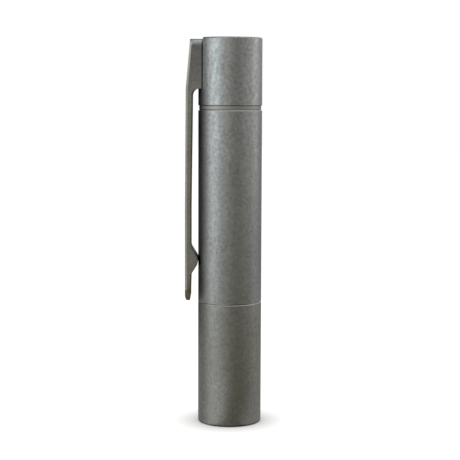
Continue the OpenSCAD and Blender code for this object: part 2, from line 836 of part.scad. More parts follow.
head_shell();
lens_gasket();
lens();
reflector();
centring_ring();
led_dome();
led_package();
led_board();
wire_red();
wire_black();
heat_sink();
driver_board();
driver_coil();
driver_parts();
contact_pin();
polarity_ring();
lock_ring();
cell_can();
cell_label();
cell_seal();
cell_plate();
barrel();
head_oring();
tail_oring();
tail_spring();
spring_plate();
tail_cap();
clip_base();
clip_arm();
clip_screws();
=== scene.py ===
# Twist-head titanium penlight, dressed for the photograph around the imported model.
import math

import bmesh
import bpy
import numpy as np
from mathutils import Matrix


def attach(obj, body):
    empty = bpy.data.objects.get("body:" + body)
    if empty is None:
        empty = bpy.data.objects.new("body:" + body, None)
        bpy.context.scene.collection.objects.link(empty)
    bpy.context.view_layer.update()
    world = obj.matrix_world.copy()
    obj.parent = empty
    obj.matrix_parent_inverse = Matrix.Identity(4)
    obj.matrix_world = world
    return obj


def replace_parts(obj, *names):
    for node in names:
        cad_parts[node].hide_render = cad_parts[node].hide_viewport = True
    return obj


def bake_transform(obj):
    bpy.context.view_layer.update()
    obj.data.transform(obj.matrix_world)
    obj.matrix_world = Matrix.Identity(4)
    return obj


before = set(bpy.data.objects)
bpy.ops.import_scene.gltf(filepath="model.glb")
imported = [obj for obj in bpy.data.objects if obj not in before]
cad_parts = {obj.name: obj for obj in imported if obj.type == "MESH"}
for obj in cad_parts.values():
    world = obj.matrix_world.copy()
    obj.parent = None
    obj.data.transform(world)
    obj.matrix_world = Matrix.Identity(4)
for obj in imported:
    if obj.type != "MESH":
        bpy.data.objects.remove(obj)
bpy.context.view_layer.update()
MM = 0.001

# The photographer's camera: a long lens at the height of the tail cap, which
# looks down on the torch by six degrees and is all but level.
CAMERA_PLACE = (0.034, -284.835, 71.891)
CAMERA_PITCH, CAMERA_ROLL = 0.1018, 0.003
LENS_MM, SENSOR_MM = 101.25, 36.0
NEAREST, FARTHEST = 0.01, 10.0


def stand(thing, axes, place):
    """Turns an object so that its X, Y and Z lie along three axes, and puts it at a place in metres."""
    matrix = Matrix.Identity(4)
    for column, axis in enumerate(axes):
        for row in range(3):
            matrix[row][column] = axis[row]
        matrix[column][3] = place[column]
    bpy.context.collection.objects.link(thing)
    thing.matrix_world = matrix


def place_camera():
    """The camera's three axes: forward is pitched down from +Y, right is +X, and both are rolled."""
    forward = np.array([0.0, math.cos(CAMERA_PITCH), -math.sin(CAMERA_PITCH)])
    level = np.array([1.0, 0.0, 0.0])
    upright = np.cross(level, forward)
    right = math.cos(CAMERA_ROLL) * level + math.sin(CAMERA_ROLL) * upright
    up = math.cos(CAMERA_ROLL) * upright - math.sin(CAMERA_ROLL) * level
    camera = bpy.data.objects.new("camera", bpy.data.cameras.new("camera"))
    camera.data.lens, camera.data.sensor_width = LENS_MM, SENSOR_MM
    camera.data.clip_start, camera.data.clip_end = NEAREST, FARTHEST
    stand(camera, (right, up, -forward), [part * MM for part in CAMERA_PLACE])
    bpy.context.scene.camera = camera


place_camera()
bpy.context.scene.view_settings.view_transform = "Standard"

# The studio: a white sweep, one cool softbox at the left front and a large
# weak one at the right. Cards that show only in the gloss stand round the
# torch and lie on the floor, and give the tube its bands, darker and lighter.
ROOM_LIGHT, ROOM_TINT = 0.50, (1.0, 0.975, 0.93)
TABLE_TINT, SAND_TINT, PALE_TINT = (1.0, 0.92, 0.52), (1.0, 0.945, 0.74), (1.0, 0.97, 0.93)
CREAM_TINT, NEUTRAL_TINT, WHITE_TINT = (1.0, 0.985, 0.955), (1.0, 0.99, 0.99), (1.0, 1.0, 1.0)
WINDOW_TINT, KEY_COLOUR, SIDE_COLOUR = (0.84, 0.95, 1.0), (0.80, 0.93, 1.0), (0.98, 1.0, 0.99)
FLOOR_COLOUR, FLOOR_GLOW = (0.45, 0.45, 0.45), 0.86
FLOOR_HALF, SHADOW_REACH, SHADOW_DEPTH = 1.6, 0.007, 1.2
LOWER_LIFT, UPPER_LIFT, LAMP_AIM_Z = 0.00004, 0.00008, 0.045


def node_maker(tree):
    """A function that adds a node in one call. Its sockets are given by name, or by number as _0,
    and take values or the outputs of other nodes."""
    def add(kind, **inputs):
        settings = inputs.pop("settings", {})
        node = tree.nodes.new(kind)
        for name, value in settings.items():
            setattr(node, name, value)
        for name, value in inputs.items():
            socket = node.inputs[int(name[1:]) if name[0] == "_" else name.replace("_", " ")]
            if isinstance(value, bpy.types.NodeSocket):
                tree.links.new(value, socket)
            else:
                socket.default_value = value
        return node
    return add


def seen_directly(add):
    """1 for camera, glossy and transmission rays, which see the white sweep, and 0 for the rest."""
    path = add("ShaderNodeLightPath")
    shiny = add("ShaderNodeMath", settings={"operation": "MAXIMUM"},
                _0=path.outputs["Is Glossy Ray"], _1=path.outputs["Is Transmission Ray"])
    return add("ShaderNodeMath", settings={"operation": "MAXIMUM"},
               _0=path.outputs["Is Camera Ray"], _1=shiny.outputs[0]).outputs[0]


def make_world():
    """White to the rays that see the sweep, and a weak warm room to all others."""
    world = bpy.data.worlds.new("studio")
    world.use_nodes = True
    world.node_tree.nodes.clear()
    add = node_maker(world.node_tree)
    seen = seen_directly(add)
    room = add("ShaderNodeBackground", Color=(*ROOM_TINT, 1.0), Strength=ROOM_LIGHT)
    white = add("ShaderNodeBackground", Color=(1.0, 1.0, 1.0, 1.0), Strength=1.0)
    both = add("ShaderNodeMixShader", _0=seen, _1=room.outputs[0], _2=white.outputs[0])
    add("ShaderNodeOutputWorld", Surface=both.outputs[0])
    bpy.context.scene.world = world


def new_material(name):
    """An empty material and the function that adds nodes to it."""
    material = bpy.data.materials.new(name)
    material.use_nodes = True
    material.node_tree.nodes.clear()
    return material, node_maker(material.node_tree)


def plain_plane(name, centre, across, up):
    """A rectangle of corners centre +- across +- up, which faces along across x up."""
    centre, across, up = (np.array(v, float) for v in (centre, across, up))
    corners = [centre - across - up, centre + across - up,
               centre + across + up, centre - across + up]
    mesh = bpy.data.meshes.new(name)
    mesh.from_pydata([tuple(c) for c in corners], [], [(0, 1, 2, 3)])
    plane = bpy.data.objects.new(name, mesh)
    bpy.context.collection.objects.link(plane)
    return plane


def make_floor():
    """White paper that glows to the eye, so that only the contact shadow stays grey.
    It is clear from below."""
    floor = plain_plane("floor", (0, 0, 0), (FLOOR_HALF, 0, 0), (0, FLOOR_HALF, 0))
    material, add = new_material("floor_paper")
    seen = seen_directly(add)
    paper = add("ShaderNodeBsdfDiffuse", Color=(*FLOOR_COLOUR, 1.0))
    crowded = add("ShaderNodeAmbientOcclusion", settings={"samples": 16}, Distance=SHADOW_REACH)
    strength = add("ShaderNodeMath", settings={"operation": "MULTIPLY"}, _0=seen, _1=FLOOR_GLOW)
    shadow = add("ShaderNodeMath", settings={"operation": "POWER"},
                 _0=crowded.outputs["AO"], _1=SHADOW_DEPTH)
    strength = add("ShaderNodeMath", settings={"operation": "MULTIPLY"},
                   _0=strength.outputs[0], _1=shadow.outputs[0])
    glow = add("ShaderNodeEmission", Color=(1.0, 1.0, 1.0, 1.0), Strength=strength.outputs[0])
    lit = add("ShaderNodeAddShader", _0=paper.outputs[0], _1=glow.outputs[0])
    under = add("ShaderNodeNewGeometry").outputs["Backfacing"]
    clear = add("ShaderNodeBsdfTransparent")
    sides = add("ShaderNodeMixShader", _0=under, _1=lit.outputs[0], _2=clear.outputs[0])
    add("ShaderNodeOutputMaterial", Surface=sides.outputs[0])
    floor.data.materials.append(material)


def turned_to(azimuth):
    """The level direction at an azimuth: 0 is towards the camera and 90 is to the right."""
    a = math.radians(azimuth)
    return np.array([math.sin(a), -math.cos(a), 0.0])


def seen_in_gloss(card, level, tint):
    """Gives a card one even tone and hides it from every ray but the torch's gloss."""
    material, add = new_material(card.name)
    tone = add("ShaderNodeEmission", Color=(*tint, 1.0), Strength=level)
    add("ShaderNodeOutputMaterial", Surface=tone.outputs[0])
    card.data.materials.append(material)
    for ray in ("camera", "diffuse", "shadow", "transmission", "volume_scatter"):
        setattr(card, "visible_" + ray, False)


def grey_card(name, azimuth, distance, width, low, high, level, tint=ROOM_TINT):
    """An upright card that faces the torch at an azimuth and a distance, from low to high."""
    away, side = turned_to(azimuth), turned_to(azimuth + 90)
    centre = away * distance + np.array([0, 0, (low + high) / 2])
    card = plain_plane(name, centre, side * width / 2, np.array([0, 0, (high - low) / 2]))
    seen_in_gloss(card, level, tint)


def ground_card(name, low, high, level, tint=TABLE_TINT, lift=LOWER_LIFT):
    """A card that lies a hair above the floor between two corners (x, y)."""
    centre = ((low[0] + high[0]) / 2, (low[1] + high[1]) / 2, lift)
    card = plain_plane(name, centre, ((high[0] - low[0]) / 2, 0, 0), (0, (high[1] - low[1]) / 2, 0))
    seen_in_gloss(card, level, tint)


def softbox(name, azimuth, elevation, distance, width, height, radiance, colour):
    """An area lamp turned to the torch's middle. Its watts follow from the radiance of its face."""
    lamp = bpy.data.lights.new(name, "AREA")
    lamp.shape, lamp.size, lamp.size_y = "RECTANGLE", width, height
    lamp.energy = radiance * math.pi * width * height
    lamp.color = colour
    lift = math.radians(elevation)
    back = turned_to(azimuth) * math.cos(lift) + np.array([0, 0, math.sin(lift)])
    side = np.cross([0, 0, 1.0], back)
    side /= np.linalg.norm(side)
    place = back * distance + np.array([0, 0, LAMP_AIM_Z])
    stand(bpy.data.objects.new(name, lamp), (side, np.cross(back, side), back), place)


make_world()
make_floor()
softbox("key_softbox", -57.5, 5, 0.70, width=0.46, height=0.52, radiance=1.58, colour=KEY_COLOUR)
softbox("side_softbox", 100, 20, 0.90, width=0.45, height=0.60, radiance=0.9, colour=SIDE_COLOUR)
ground_card("table_front", (-0.60, -0.90), (0.90, 0.0), 0.14)
ground_card("table_right", (0.0, 0.0), (0.90, 0.60), 0.18, PALE_TINT)
ground_card("table_left", (-0.90, 0.0), (0.0, 0.60), 0.06, PALE_TINT)
ground_card("near_left", (-0.25, -0.004), (-0.004, 0.09), 0.43, PALE_TINT, UPPER_LIFT)
ground_card("lit_left", (-0.12, -0.055), (-0.004, -0.004), 0.68, PALE_TINT, UPPER_LIFT)
ground_card("far_lit_left", (-0.45, -0.14), (-0.12, -0.004), 0.68, PALE_TINT, UPPER_LIFT)
ground_card("far_front", (-0.35, -0.75), (0.25, -0.17), 0.28, SAND_TINT, UPPER_LIFT)
ground_card("near_right", (0.004, -0.01), (0.20, 0.16), 0.42, PALE_TINT, UPPER_LIFT)
grey_card("card_front", 22, 0.60, 0.50, 0.0, 0.60, 0.38, CREAM_TINT)
grey_card("card_side", 67, 0.62, 0.50, 0.0, 0.60, 0.77, NEUTRAL_TINT)
grey_card("card_far_right", 145, 0.26, 0.22, 0.0, 0.40, 0.35)
grey_card("card_high_right", 140, 0.25, 0.20, 0.07, 0.40, 0.60, WHITE_TINT)
grey_card("card_far_left", -144.5, 0.26, 0.70, 0.0, 0.80, 0.0)
grey_card("card_behind", 177, 0.30, 0.13, 0.0, 0.40, 0.16)
grey_card("card_high_left", -101, 0.24, 0.11, 0.11, 0.60, 1.0, WINDOW_TINT)

# The stonewashed metal: grade 5 titanium tumbled with stones, dark grey and
# half matt, with small pale and dark blotches where the stones have struck.
# The barrel and the tail cap are paler, cooler and glossier than the head. The
# head's darker, warmer copy of the metal is painted shade, for the darker and
# warmer reflection that it takes low down, near the floor.
TITANIUM_PALE, TITANIUM_DARK, TITANIUM_ROUGH = (0.405, 0.415, 0.415), (0.262, 0.264, 0.256), 0.40
SHADED_HEAD_PALE, SHADED_HEAD_DARK = (0.358, 0.360, 0.341), (0.232, 0.230, 0.214)
# The head's narrow gaps take a lighter painted shade.
HEAD_CREVICE_SHADE, HEAD_DENT = 0.45, 0.45
BLOTCH_SCALE, CLOUD_SCALE, GRAIN_SCALE = 1500.0, 1500.0 / 7, 5200.0
DENT_DEPTH, GRAIN_DEPTH, GRAIN_STRENGTH, GLOSS_SWING = 0.00004, 0.000010, 0.6, 0.045
# Painted shade in narrow gaps: ambient occlusion within this reach, mapped from shut to open.
CREVICE, CREVICE_SHUT, CREVICE_OPEN = 0.0006, 0.74, 0.96
LATHE_SCALE, LATHE_DEPTH = (60.0, 60.0, 9000.0), 0.000006
SHARP_ANGLE = math.radians(17)


def crevices(add, dark):
    """Painted shade: a factor from ambient occlusion that falls from 1 in the open to dark in narrow
    gaps.
    """
    shade = add("ShaderNodeAmbientOcclusion", settings={"samples": 8}, Distance=CREVICE)
    return add("ShaderNodeMapRange", Value=shade.outputs["AO"], From_Min=CREVICE_SHUT,
               From_Max=CREVICE_OPEN, To_Min=dark, To_Max=1.0).outputs[0]


def light_and_shade_by_height(add, place, stops):
    """Painted light and shade: a colour that follows Object Z through stops of (height in millimetres,
    colour).
    """
    height = add("ShaderNodeSeparateXYZ", Vector=place).outputs[2]
    foot, top = stops[0][0], stops[-1][0]
    share = add("ShaderNodeMapRange", Value=height, From_Min=foot * MM, From_Max=top * MM)
    ramp = add("ShaderNodeValToRGB", Fac=share.outputs[0])
    for number, (z, colour) in enumerate(stops):
        if 0 < number < len(stops) - 1:
            stop = ramp.color_ramp.elements.new((z - foot) / (top - foot))
        else:
            stop = ramp.color_ramp.elements[0 if number == 0 else -1]
        stop.color = (*colour, 1.0)
    return ramp.outputs[0]


def stonewashed(name, pale, dark, light_and_shade=None, shade_in_crevices=0.12, rough=0.44, dent=0.6):
    """Blotches 0.7 mm across change the colour, the gloss and the height a little, and grain breaks up
    the sheen. The darkness given for narrow gaps is painted shade, and the height stops, of (height,
    colour), paint light and shade."""
    material, add = new_material(name)
    place = add("ShaderNodeTexCoord").outputs["Object"]
    blotch = add("ShaderNodeTexNoise", Vector=place, Scale=BLOTCH_SCALE, Detail=3.0, Roughness=0.6)
    cloud = add("ShaderNodeTexNoise", Vector=place, Scale=CLOUD_SCALE, Detail=2.0, Roughness=0.5)
    grain = add("ShaderNodeTexNoise", Vector=place, Scale=GRAIN_SCALE, Detail=2.0, Roughness=0.5)
    spread = add("ShaderNodeMapRange", Value=blotch.outputs[0], From_Min=0.30, From_Max=0.76)
    tone = add("ShaderNodeMix", settings={"data_type": "RGBA"}, _0=spread.outputs[0],
               _6=(*dark, 1.0), _7=(*pale, 1.0))
    drift = add("ShaderNodeMapRange", Value=cloud.outputs[0], From_Min=0.3, From_Max=0.7,
                To_Min=0.94, To_Max=1.04)
    strength = add("ShaderNodeMath", settings={"operation": "MULTIPLY"}, _0=drift.outputs[0],
                   _1=crevices(add, shade_in_crevices))
    colour = add("ShaderNodeVectorMath", settings={"operation": "SCALE"}, _0=tone.outputs[2],
                 _3=strength.outputs[0])
    if light_and_shade:
        colour = add("ShaderNodeVectorMath", settings={"operation": "MULTIPLY"}, _0=colour.outputs[0],
                     _1=light_and_shade_by_height(add, place, light_and_shade))
    gloss = add("ShaderNodeMapRange", Value=blotch.outputs[0], From_Min=0.3, From_Max=0.7,
                To_Min=rough + GLOSS_SWING, To_Max=rough - GLOSS_SWING)
    dents = add("ShaderNodeBump", Height=blotch.outputs[0], Strength=dent, Distance=DENT_DEPTH)
    skin = add("ShaderNodeBump", Height=grain.outputs[0], Strength=GRAIN_STRENGTH, Distance=GRAIN_DEPTH,
               Normal=dents.outputs[0])
    metal = add("ShaderNodeBsdfPrincipled", Metallic=1.0, Base_Color=colour.outputs[0],
                Roughness=gloss.outputs[0], Normal=skin.outputs[0])
    add("ShaderNodeOutputMaterial", Surface=metal.outputs[0])
    return material


def machined(name, pale, dark, rough=0.32):
    """Turned metal: fine rings along Z, with a little drift in tone."""
    material, add = new_material(name)
    place = add("ShaderNodeTexCoord").outputs["Object"]
    squeeze = add("ShaderNodeMapping", Vector=place, Scale=LATHE_SCALE)
    rings = add("ShaderNodeTexNoise", Vector=squeeze.outputs[0], Scale=1.0, Detail=2.0)
    tone = add("ShaderNodeMix", settings={"data_type": "RGBA"}, _0=rings.outputs[0],
               _6=(*dark, 1.0), _7=(*pale, 1.0))
    gloss = add("ShaderNodeMapRange", Value=rings.outputs[0], To_Min=rough - 0.06, To_Max=rough + 0.06)
    lines = add("ShaderNodeBump", Height=rings.outputs[0], Strength=0.3, Distance=LATHE_DEPTH)
    metal = add("ShaderNodeBsdfPrincipled", Metallic=1.0, Base_Color=tone.outputs[2],
                Roughness=gloss.outputs[0], Normal=lines.outputs[0])
    add("ShaderNodeOutputMaterial", Surface=metal.outputs[0])
    return material


titanium = stonewashed("stonewashed_titanium", TITANIUM_PALE, TITANIUM_DARK, rough=TITANIUM_ROUGH)
# Painted shade: the head's copy of the metal is darker and warmer.
shaded_head_titanium = stonewashed("stonewashed_head_painted_shade", SHADED_HEAD_PALE, SHADED_HEAD_DARK, shade_in_crevices=HEAD_CREVICE_SHADE, dent=HEAD_DENT)
turned_titanium = machined("turned_titanium", (0.46, 0.45, 0.42), (0.36, 0.35, 0.33))
# Cut chamfers: a paler machined finish, which is partly a painted highlight for the light they catch.
cut_edge_and_sheen = machined("cut_edge_and_painted_sheen", (0.66, 0.67, 0.70), (0.56, 0.57, 0.60), rough=0.40)


def grid_mesh(name, points, close_u=True, close_v=True, finish=None, faces=()):
    """A mesh over points[i, j] in millimetres: i runs round the profile, j round or along the sweep.
    Each face takes corners (i, j), (i, j+1), (i+1, j+1), (i+1, j). finish gives a material number
    for each i, or for each (i, j), and faces adds flat ends."""
    rows, columns = points.shape[:2]
    i, j = np.meshgrid(np.arange(rows if close_u else rows - 1),
                       np.arange(columns if close_v else columns - 1), indexing="ij")
    ni, nj = (i + 1) % rows, (j + 1) % columns
    quads = np.stack([i * columns + j, i * columns + nj, ni * columns + nj, ni * columns + j], -1)
    finish = np.zeros(points.shape[:2], int) if finish is None else np.array(finish)
    slots = finish[i, j] if finish.ndim == 2 else finish[i]
    mesh = bpy.data.meshes.new(name)
    mesh.from_pydata((points.reshape(-1, 3) * MM).tolist(), [],
                     quads.reshape(-1, 4).tolist() + list(faces))
    mesh.polygons.foreach_set("material_index",
                              np.concatenate([slots.ravel(), np.zeros(len(faces), int)]))
    mesh.update()
    return finished_piece(name, mesh)


def finished_piece(name, mesh):
    """The piece, its poles closed and its faces turned outwards, smooth but for its sharp edges."""
    work = bmesh.new()
    work.from_mesh(mesh)
    bmesh.ops.remove_doubles(work, verts=work.verts, dist=1e-8)
    bmesh.ops.recalc_face_normals(work, faces=work.faces)
    work.to_mesh(mesh)
    work.free()
    piece = bpy.data.objects.new(name, mesh)
    bpy.context.collection.objects.link(piece)
    mesh.polygons.foreach_set("use_smooth", np.ones(len(mesh.polygons), bool))
    mesh.set_sharp_from_angle(angle=SHARP_ANGLE)
    return piece


def lathe_grid(radii, heights, turns=192):
    """Points of a surface of revolution: (r cos a, r sin a, z).
    radii and heights give one number for each row, or one for each (row, angle)."""
    angles = np.linspace(0, 2 * math.pi, turns, endpoint=False)
    radii, heights = (np.broadcast_to(np.asarray(v, float).reshape(len(v), -1), (len(v), turns))
                      for v in (radii, heights))
    return np.stack([radii * np.cos(angles), radii * np.sin(angles), heights], -1)


# The screw threads of the neck and the stud: cut ridges of 0.8 mm pitch with
# flat crests. The outer thread starts on a chamfer and ends in a relief, and
# the inner one fills less of the space, so that they turn past each other.
THREAD_PITCH, THREAD_DEPTH, RIDGE_HEIGHT, ROWS_A_PITCH = 0.8, 0.33, 0.27, 16
INNER_START, INNER_FLANK, OUTER_START, OUTER_FLANK = 0.42, 0.42, 0.28, 0.44


def thread_rows(start, end, radius, inner=False, turns=192, pitch=THREAD_PITCH, depth=THREAD_DEPTH):
    """Rows of (radius, height) from start to end, one column for each angle a. The ridge is a
    flat-topped wave of z / pitch - a / 2 pi, a right-hand helix, which runs out at the ends."""
    count = max(2, int(round(abs(end - start) / (pitch / ROWS_A_PITCH))) + 1)
    heights = np.linspace(start, end, count)[:, None]
    angles = np.linspace(0, 2 * math.pi, turns, endpoint=False)[None, :]
    wave = np.abs(((heights / pitch - angles / (2 * math.pi)) % 1.0) * 2 - 1)
    low, high = min(start, end), max(start, end)
    if inner:
        ridge = np.clip((wave - INNER_START) / INNER_FLANK, 0, 1)
        room = np.minimum(np.clip(heights - low, 0, None), np.clip(high - heights, 0, None))
        radii = radius - np.minimum(RIDGE_HEIGHT * ridge, room)
    else:
        radii = radius - depth * np.clip((wave - OUTER_START) / OUTER_FLANK, 0, 1)
        radii = np.minimum(radii, radius - depth + np.clip(heights - low, 0, None))
    return radii, np.broadcast_to(heights, radii.shape)


def turned_piece(name, stretches, finish=None, turns=192, solid=False):
    """A turned piece from stretches of its profile: lists of (radius, height) corners, or thread rows.
    The profile is a loop, or for a solid piece it starts and ends on the axis."""
    radii, heights, slots = [], [], []
    for number, stretch in enumerate(stretches):
        if isinstance(stretch, tuple):
            rows_r, rows_z = stretch
        else:
            corners = np.array(stretch, float)
            rows_r, rows_z = (np.repeat(corners[:, k:k + 1], turns, 1) for k in (0, 1))
        radii.append(rows_r)
        heights.append(rows_z)
        slots += [finish[number] if finish else 0] * len(rows_r)
    points = lathe_grid(np.concatenate(radii), np.concatenate(heights), turns)
    return grid_mesh(name, points, close_u=not solid, finish=slots)


# The head: a stonewashed tube that is turned to switch the torch. Its bezel
# lip holds the lens, and its bore is threaded for the barrel's neck.
BODY_R, BORE_R, OPTIC_R = 7.0, 5.35, 5.7
WINDOW_R, WINDOW_FLARE, BEZEL_CHAMFER, BEZEL_T = 4.9, 0.35, 0.25, 0.9
HEAD_TOP, HEAD_BEVEL, HEAD_BEVEL_L, SKIRT_Z, STEP_Z = 26.99, 0.08, 0.30, 23.40, 18.70
SEAL_BORE_R, THREAD_BORE_R, LEAD_IN, EDGE_BREAK = 6.50, 6.18, 0.08, 0.04
INNER_LEAD, STEP_RELIEF = 0.02, 0.4
STONEWASHED, TURNED, CUT_AND_SHEEN = 0, 1, 2


def dress(piece, body, slot, *materials):
    """Gives a piece its finishes and the body that it moves with. The slot is not used."""
    for material in materials:
        piece.data.materials.append(material)
    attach(piece, body)
    return piece


def make_head():
    """Down the bore the finish changes from stonewashed to turned, and the bevel at the seam is cut.
    Its pale finish is partly a painted highlight.
    """
    head = turned_piece("head_tube", [
        [(WINDOW_R, BEZEL_T), (WINDOW_R, BEZEL_T / 2), (WINDOW_R + WINDOW_FLARE, 0),
         (BODY_R - BEZEL_CHAMFER - EDGE_BREAK, 0), (BODY_R - BEZEL_CHAMFER, EDGE_BREAK / 3),
         (BODY_R - EDGE_BREAK / 3, BEZEL_CHAMFER), (BODY_R, BEZEL_CHAMFER + EDGE_BREAK),
         (BODY_R, HEAD_TOP - HEAD_BEVEL_L)],
        [(BODY_R - 0.01, HEAD_TOP - HEAD_BEVEL - 0.04), (BODY_R - HEAD_BEVEL - 0.05, HEAD_TOP)],
        [(SEAL_BORE_R + LEAD_IN, HEAD_TOP), (SEAL_BORE_R, HEAD_TOP - LEAD_IN), (SEAL_BORE_R, SKIRT_Z),
         (THREAD_BORE_R, SKIRT_Z)],
        thread_rows(SKIRT_Z - INNER_LEAD, STEP_Z + STEP_RELIEF, THREAD_BORE_R, inner=True),
        [(THREAD_BORE_R, STEP_Z)],
        [(OPTIC_R, STEP_Z), (OPTIC_R, BEZEL_T)],
    ], finish=[STONEWASHED, CUT_AND_SHEEN, TURNED, TURNED, TURNED, TURNED])
    dress(head, "head", "titanium", shaded_head_titanium, turned_titanium, cut_edge_and_sheen)
    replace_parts(head, "head_shell")


make_head()

# The front stack, pressed against the bezel lip: a rubber gasket, the glass
# lens and the bright bowl of the reflector, all turned.
LENS_Z, REFLECTOR_Z, BOWL_END_Z, FIT_R, LENS_EDGE = 1.30, 2.30, 8.30, 5.66, 0.08
BOWL_RIM_R, BOWL_FOCUS_Z, BOWL_WALL, RIM_T, BOWL_ROWS = 5.21, 8.00, 0.45, 0.80, 49
GLASS_COLOUR, COAT_COLOUR = (0.94, 0.97, 0.98), (0.88, 0.89, 0.90)
FINE_BUMP, COAT_BUMP = 0.00001, 0.000006


def plain(name, colour, drift=0.06, scale=1200.0, bump=0.0, **surface):
    """A plain finish with a little drift in its tone and, where bump is given, in its height."""
    material, add = new_material(name)
    place = add("ShaderNodeTexCoord").outputs["Object"]
    cloud = add("ShaderNodeTexNoise", Vector=place, Scale=scale, Detail=2.0)
    low, high = (tuple(min(1.0, part * share) for part in colour) for share in (1 - drift, 1 + drift))
    tone = add("ShaderNodeMix", settings={"data_type": "RGBA"}, _0=cloud.outputs[0],
               _6=(*low, 1.0), _7=(*high, 1.0))
    if bump:
        rise = add("ShaderNodeBump", Height=cloud.outputs[0], Strength=0.4, Distance=bump)
        surface["Normal"] = rise.outputs[0]
    skin = add("ShaderNodeBsdfPrincipled", Base_Color=tone.outputs[2], **surface)
    add("ShaderNodeOutputMaterial", Surface=skin.outputs[0])
    return material


def paint(material, *nodes):
    """Gives a finish to solids that are shown as the CAD has them."""
    for node in nodes:
        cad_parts[node].data.materials.clear()
        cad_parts[node].data.materials.append(material)


rubber = plain("greased_rubber", (0.028, 0.028, 0.030), bump=FINE_BUMP, Roughness=0.42)
glass = plain("coated_glass", GLASS_COLOUR, drift=0.0, Roughness=0.02, Transmission_Weight=1.0,
              IOR=1.52)
bright_coat = plain("bright_coat", COAT_COLOUR, drift=0.02, scale=2500.0, bump=COAT_BUMP,
                    Metallic=1.0, Roughness=0.10)


def make_front():
    """The bowl is the paraboloid r = sqrt(4 f (focus + f - z)), cut by the rim and the throat."""
    paint(rubber, "lens_gasket")
    lens = turned_piece("window_lens", [
        [(0, LENS_Z), (FIT_R - LENS_EDGE, LENS_Z), (FIT_R, LENS_Z + LENS_EDGE),
         (FIT_R, REFLECTOR_Z - LENS_EDGE), (FIT_R - LENS_EDGE, REFLECTOR_Z), (0, REFLECTOR_Z)]],
        solid=True)
    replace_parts(dress(lens, "head", "lens_glass", glass), "lens")
    depth = BOWL_FOCUS_Z - REFLECTOR_Z
    focal = (math.hypot(depth, BOWL_RIM_R) - depth) / 2
    heights = np.linspace(REFLECTOR_Z, BOWL_END_Z, BOWL_ROWS)
    bowl = np.sqrt(4 * focal * (BOWL_FOCUS_Z + focal - heights))
    rim_bowl = np.interp(REFLECTOR_Z + RIM_T, heights, bowl)
    reflector = turned_piece("reflector_bowl", [
        [(FIT_R, REFLECTOR_Z), (FIT_R, REFLECTOR_Z + RIM_T),
         (rim_bowl + BOWL_WALL, REFLECTOR_Z + RIM_T), (bowl[-1] + 2 * BOWL_WALL, BOWL_END_Z)],
        list(zip(bowl[::-1], heights[::-1]))])
    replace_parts(dress(reflector, "head", "reflector_coat", bright_coat), "reflector")


make_front()

# The emitter: a ceramic package with a square of yellow phosphor under a clear
# dome, soldered to a copper board that has a white mask, with two leads.
LED_W, LED_BACK_Z, DOME_R, DIE_W, DIE_T, DIE_LIFT = 3.45, 9.00, 1.30, 1.50, 0.12, 0.002
MASK_Z, DOME_LIFT, DOME_TURNS, DOME_ROWS = 9.03, 0.001, 96, 25
WHITE_MASK, BARE_COPPER = ((0.78, 0.78, 0.75), 0.0, 0.4), ((0.78, 0.42, 0.26), 1.0, 0.35)


def prism(name, loop, low, high):
    """An upright prism over a loop of (x, y) corners, in millimetres."""
    rings = np.array([[(*corner, height) for corner in loop] for height in (low, high)])
    count = len(loop)
    ends = [tuple(range(count))[::-1], tuple(range(count, 2 * count))]
    return grid_mesh(name, rings, close_u=False, faces=ends)


def block(name, low, high):
    """A box between two corners, in millimetres."""
    loop = [(low[0], low[1]), (high[0], low[1]), (high[0], high[1]), (low[0], high[1])]
    return prism(name, loop, low[2], high[2])


def two_tone(name, axis, limit, below, above, **surface):
    """One finish where the distance along an axis, either way, is below a limit in millimetres, and
    another above it. below and above are (colour, metallic, roughness)."""
    material, add = new_material(name)
    place = add("ShaderNodeTexCoord").outputs["Object"]
    part = add("ShaderNodeSeparateXYZ", Vector=place).outputs[axis]
    size = add("ShaderNodeMath", settings={"operation": "ABSOLUTE"}, _0=part)
    past = add("ShaderNodeMath", settings={"operation": "GREATER_THAN"},
               _0=size.outputs[0], _1=limit * MM).outputs[0]
    cloud = add("ShaderNodeTexNoise", Vector=place, Scale=1500.0, Detail=2.0)
    tone = add("ShaderNodeMix", settings={"data_type": "RGBA"}, _0=past,
               _6=(*below[0], 1.0), _7=(*above[0], 1.0))
    drift = add("ShaderNodeMapRange", Value=cloud.outputs[0], To_Min=0.9, To_Max=1.1)
    colour = add("ShaderNodeVectorMath", settings={"operation": "SCALE"}, _0=tone.outputs[2],
                 _3=drift.outputs[0])
    metallic, rough = (add("ShaderNodeMix", _0=past, _2=below[k], _3=above[k]).outputs[0]
                       for k in (1, 2))
    skin = add("ShaderNodeBsdfPrincipled", Base_Color=colour.outputs[0], Metallic=metallic,
               Roughness=rough, **surface)
    add("ShaderNodeOutputMaterial", Surface=skin.outputs[0])
    return material


white_plastic = plain("white_plastic", (0.80, 0.80, 0.76), Roughness=0.45)


